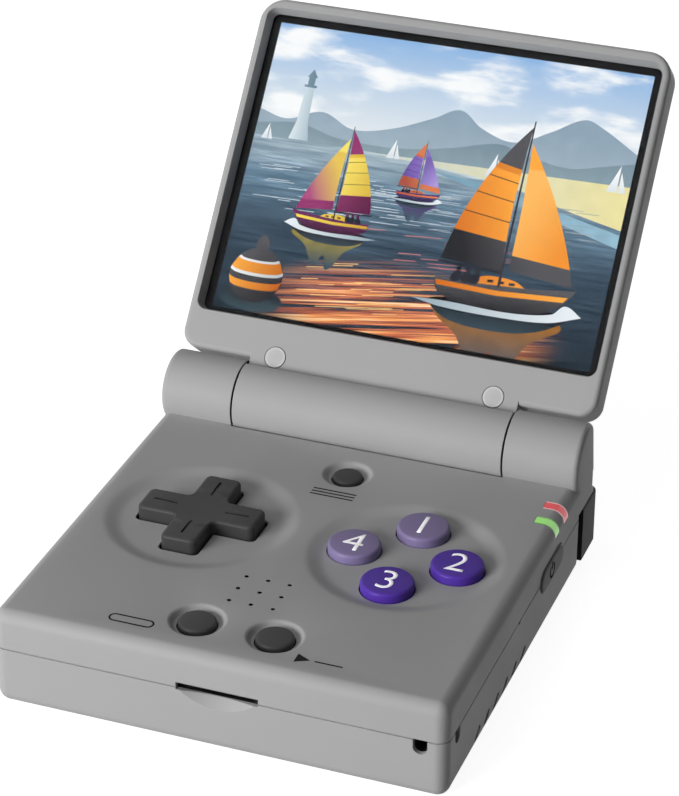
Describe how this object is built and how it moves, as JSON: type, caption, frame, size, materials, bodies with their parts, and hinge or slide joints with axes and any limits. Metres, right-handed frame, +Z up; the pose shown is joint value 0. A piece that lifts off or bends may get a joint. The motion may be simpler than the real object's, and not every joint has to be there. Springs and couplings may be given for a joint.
{
  "type": "clamshell handheld game console",
  "caption": "Clamshell handheld game console with a hinged display lid, directional pad, face buttons, shoulder buttons and side controls.",
  "frame": {"origin": "centre of the base's flat underside, on the surface it stands on", "axes": "+X to the player's right, +Y back towards the hinge, +Z up"},
  "size_m": [0.086, 0.1376, 0.0852],
  "materials": {
    "shell_grey": "fine satin moulded plastic",
    "key_grey": "fine satin moulded plastic",
    "display_glass": "clear glass with a black border",
    "display_panel": "lit display",
    "flex_amber": "polyimide",
    "bumper_clear": "translucent",
    "screw_steel": "dark plated",
    "hinge_steel": "ground",
    "module_black": "moulded",
    "control_grey": "satin moulded plastic",
    "membrane_rubber": "silicone",
    "button_lilac": "satin moulded plastic",
    "button_violet": "satin moulded plastic",
    "shoulder_grey": "satin moulded plastic",
    "switch_black": "moulded",
    "board_green": "solder mask",
    "shield_tin": "tinned",
    "battery_foil": "foil",
    "speaker_black": "moulded",
    "led_white": "moulded",
    "light_red": "clear tinted",
    "light_green": "clear tinted"
  },
  "bodies": {
    "base": {"base_top_shell": "shell_grey", "base_bottom_shell": "shell_grey", "hinge_pin_right": "hinge_steel", "hinge_pin_left": "hinge_steel", "dpad_membrane": "membrane_rubber", "action_membrane": "membrane_rubber", "option_membranes": "membrane_rubber", "shoulder_pins": "hinge_steel", "shoulder_switches": "switch_black", "side_switches": "switch_black", "main_board": "board_green", "processor_shield": "shield_tin", "battery": "battery_foil", "speaker": "speaker_black", "card_socket": "shield_tin", "usb_port": "shield_tin", "headphone_jack": "switch_black", "status_leds": "led_white", "red_light_pipe": "light_red", "green_light_pipe": "light_green", "base_screws": "screw_steel", "board_screws": "screw_steel"},
    "lid": {"lid_front_bezel": "shell_grey", "lid_back_cover": "shell_grey", "display_glass": "display_glass", "display_panel": "display_panel", "display_flex": "flex_amber", "lid_bumpers": "bumper_clear", "lid_screws": "screw_steel", "hinge_module_right": "module_black", "hinge_module_left": "module_black"},
    "dpad_pivot": {"dpad_pivot": "hinge_steel"},
    "dpad": {"dpad": "control_grey"},
    "menu_button": {"menu_button": "control_grey"},
    "select_button": {"select_button": "control_grey"},
    "start_button": {"start_button": "control_grey"},
    "power_button": {"power_button": "key_grey"},
    "volume_rocker": {"volume_rocker": "key_grey"},
    "action_button_top": {"action_button_top": "button_lilac"},
    "action_button_left": {"action_button_left": "button_lilac"},
    "action_button_right": {"action_button_right": "button_violet"},
    "action_button_bottom": {"action_button_bottom": "button_violet"},
    "shoulder_button_right_outer": {"shoulder_button_right_outer": "shoulder_grey"},
    "shoulder_button_right_inner": {"shoulder_button_right_inner": "shoulder_grey"},
    "shoulder_button_left_outer": {"shoulder_button_left_outer": "shoulder_grey"},
    "shoulder_button_left_inner": {"shoulder_button_left_inner": "shoulder_grey"}
  },
  "joints": [
    {"name": "lid_hinge", "type": "hinge", "parent": "base", "child": "lid", "pos_m": [0, 0.0382, 0.0222], "axis": [1, 0, 0], "range_deg": [-20, 130]},
    {"name": "dpad_pitch", "type": "hinge", "parent": "base", "child": "dpad_pivot", "pos_m": [-0.02, -0.00185, 0.0162], "axis": [1, 0, 0], "range_deg": [-3.2, 3.2], "stiffness_Nm_per_rad": 0.2},
    {"name": "dpad_roll", "type": "hinge", "parent": "dpad_pivot", "child": "dpad", "pos_m": [-0.02, -0.00185, 0.0162], "axis": [0, 1, 0], "range_deg": [-3.2, 3.2], "stiffness_Nm_per_rad": 0.2},
    {"name": "action_top_press", "type": "slide", "parent": "base", "child": "action_button_top", "axis": [0, 0, -1], "range_m": [0, 0.001], "stiffness_N_per_m": 500},
    {"name": "action_left_press", "type": "slide", "parent": "base", "child": "action_button_left", "axis": [0, 0, -1], "range_m": [0, 0.001], "stiffness_N_per_m": 500},
    {"name": "action_right_press", "type": "slide", "parent": "base", "child": "action_button_right", "axis": [0, 0, -1], "range_m": [0, 0.001], "stiffness_N_per_m": 500},
    {"name": "action_bottom_press", "type": "slide", "parent": "base", "child": "action_button_bottom", "axis": [0, 0, -1], "range_m": [0, 0.001], "stiffness_N_per_m": 500},
    {"name": "menu_press", "type": "slide", "parent": "base", "child": "menu_button", "axis": [0, 0, -1], "range_m": [0, 0.0006], "stiffness_N_per_m": 500},
    {"name": "select_press", "type": "slide", "parent": "base", "child": "select_button", "axis": [0, 0, -1], "range_m": [0, 0.0006], "stiffness_N_per_m": 500},
    {"name": "start_press", "type": "slide", "parent": "base", "child": "start_button", "axis": [0, 0, -1], "range_m": [0, 0.0006], "stiffness_N_per_m": 500},
    {"name": "power_press", "type": "slide", "parent": "base", "child": "power_button", "axis": [-1, 0, 0], "range_m": [0, 0.0004], "stiffness_N_per_m": 500},
    {"name": "volume_rock", "type": "hinge", "parent": "base", "child": "volume_rocker", "pos_m": [-0.0397, 0.01575, 0.0115], "axis": [0, 0, 1], "range_deg": [-3, 3], "stiffness_Nm_per_rad": 0.05},
    {"name": "shoulder_right_inner_press", "type": "hinge", "parent": "base", "child": "shoulder_button_right_inner", "pos_m": [0.0165, 0.03945, 0.0063], "axis": [0, 0, -1], "range_deg": [0, 6], "stiffness_Nm_per_rad": 0.08},
    {"name": "shoulder_right_outer_press", "type": "hinge", "parent": "base", "child": "shoulder_button_right_outer", "pos_m": [0.03075, 0.03945, 0.0063], "axis": [0, 0, -1], "range_deg": [0, 6], "stiffness_Nm_per_rad": 0.08},
    {"name": "shoulder_left_inner_press", "type": "hinge", "parent": "base", "child": "shoulder_button_left_inner", "pos_m": [-0.0165, 0.03945, 0.0063], "axis": [0, 0, 1], "range_deg": [0, 6], "stiffness_Nm_per_rad": 0.08},
    {"name": "shoulder_left_outer_press", "type": "hinge", "parent": "base", "child": "shoulder_button_left_outer", "pos_m": [-0.03075, 0.03945, 0.0063], "axis": [0, 0, 1], "range_deg": [0, 6], "stiffness_Nm_per_rad": 0.08}
  ]
}
